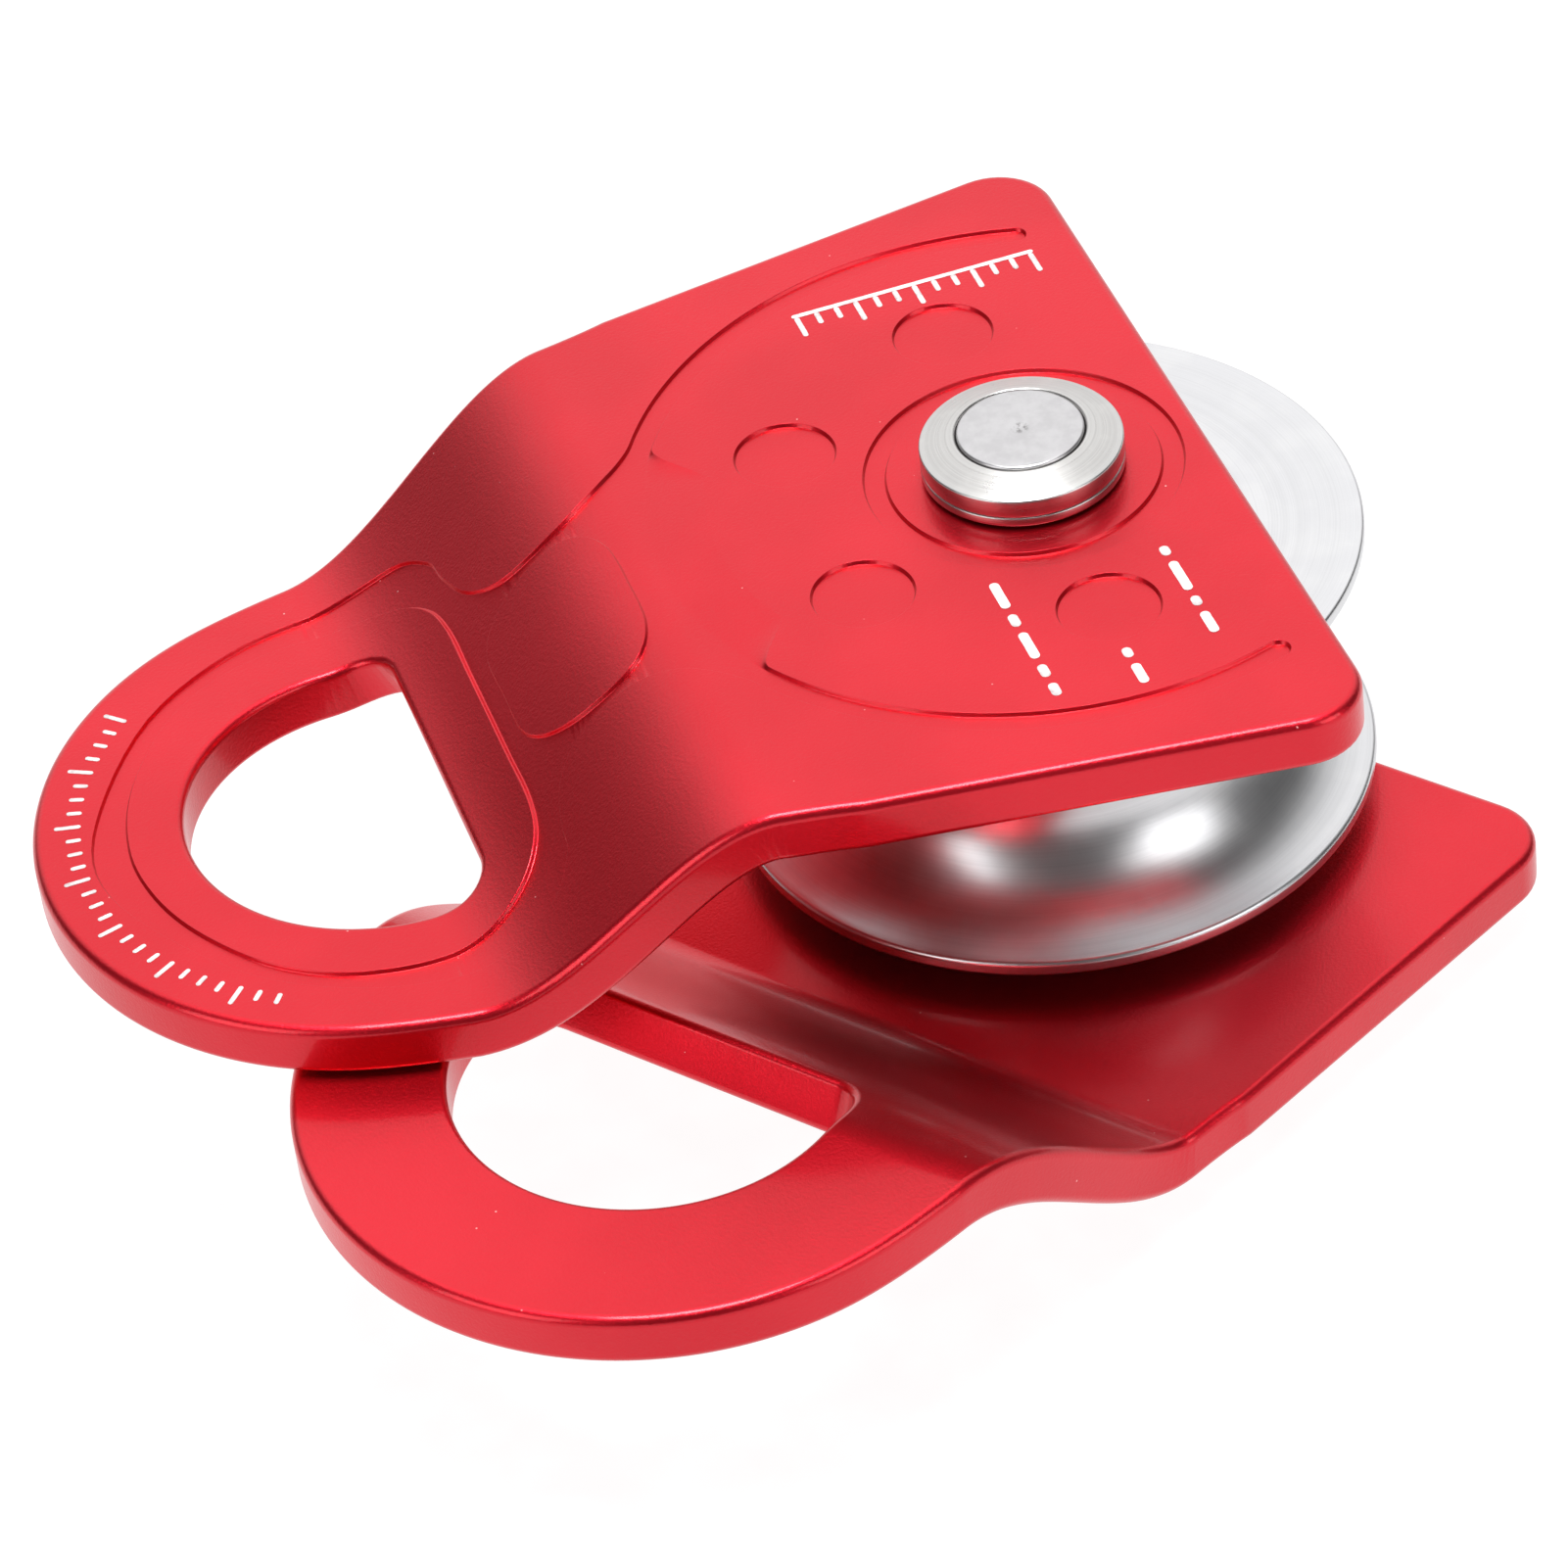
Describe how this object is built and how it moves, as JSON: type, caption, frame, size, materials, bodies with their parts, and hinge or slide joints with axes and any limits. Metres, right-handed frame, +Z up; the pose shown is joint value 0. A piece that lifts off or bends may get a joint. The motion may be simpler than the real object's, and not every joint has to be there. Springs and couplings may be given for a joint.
{
  "type": "swing cheek rope pulley",
  "caption": "Rope pulley with two swinging eyed side plates, a wide grooved sheave on ball bearings and a collared axle.",
  "frame": {"origin": "middle of the axle's lower end face", "axes": "+Z up along the axle; +X square to the axle, halfway between the two eyes at rest; +Y completes the right hand, on the lower cheek's eye side"},
  "size_m": [0.0944, 0.0808, 0.0398],
  "materials": {
    "anodised_cheek": "red anodised over a fine satin texture",
    "sheave_aluminium": "turned, bright in the groove and satin on the flanges",
    "stainless": "turned and brushed",
    "bearing_steel": "ground and polished",
    "cage_nylon": "moulded, matte"
  },
  "bodies": {
    "axle": {"axle_pin": "stainless", "bearing_spacer": "stainless", "upper_collar": "stainless", "upper_outer_washer": "stainless", "upper_thrust_washer": "stainless", "upper_bearing_inner_ring": "bearing_steel", "lower_collar": "stainless", "lower_outer_washer": "stainless", "lower_thrust_washer": "stainless", "lower_bearing_inner_ring": "bearing_steel"},
    "upper_cheek": {"upper_cheek": "anodised_cheek"},
    "lower_cheek": {"lower_cheek": "anodised_cheek"},
    "sheave": {"sheave": "sheave_aluminium", "upper_bearing_outer_ring": "bearing_steel", "upper_bearing_outer_shield": "bearing_steel", "upper_bearing_inner_shield": "bearing_steel", "lower_bearing_outer_ring": "bearing_steel", "lower_bearing_outer_shield": "bearing_steel", "lower_bearing_inner_shield": "bearing_steel"},
    "upper_cage": {"upper_bearing_cage": "cage_nylon", "upper_bearing_ball_1": "bearing_steel", "upper_bearing_ball_2": "bearing_steel", "upper_bearing_ball_3": "bearing_steel", "upper_bearing_ball_4": "bearing_steel", "upper_bearing_ball_5": "bearing_steel", "upper_bearing_ball_6": "bearing_steel", "upper_bearing_ball_7": "bearing_steel"},
    "lower_cage": {"lower_bearing_cage": "cage_nylon", "lower_bearing_ball_1": "bearing_steel", "lower_bearing_ball_2": "bearing_steel", "lower_bearing_ball_3": "bearing_steel", "lower_bearing_ball_4": "bearing_steel", "lower_bearing_ball_5": "bearing_steel", "lower_bearing_ball_6": "bearing_steel", "lower_bearing_ball_7": "bearing_steel"}
  },
  "joints": [
    {"name": "upper_cheek_swing", "type": "hinge", "parent": "axle", "child": "upper_cheek", "pos_m": [0, 0, 0.0199], "axis": [0, 0, 1], "range_deg": [-161.25, 18.75]},
    {"name": "lower_cheek_swing", "type": "hinge", "parent": "axle", "child": "lower_cheek", "pos_m": [0, 0, 0.0199], "axis": [0, 0, -1], "range_deg": [-161.25, 18.75]},
    {"name": "sheave_spin", "type": "hinge", "parent": "axle", "child": "sheave", "pos_m": [0, 0, 0.0199], "axis": [0, 0, 1], "continuous": true},
    {"name": "upper_cage_spin", "type": "hinge", "parent": "axle", "child": "upper_cage", "pos_m": [0, 0, 0.0199], "axis": [0, 0, 1], "continuous": true},
    {"name": "lower_cage_spin", "type": "hinge", "parent": "axle", "child": "lower_cage", "pos_m": [0, 0, 0.0199], "axis": [0, 0, 1], "continuous": true}
  ],
  "couplings": [
    {"joint": "upper_cage_spin", "follows": "sheave_spin", "ratio": 0.6178},
    {"joint": "lower_cage_spin", "follows": "sheave_spin", "ratio": 0.6178}
  ]
}
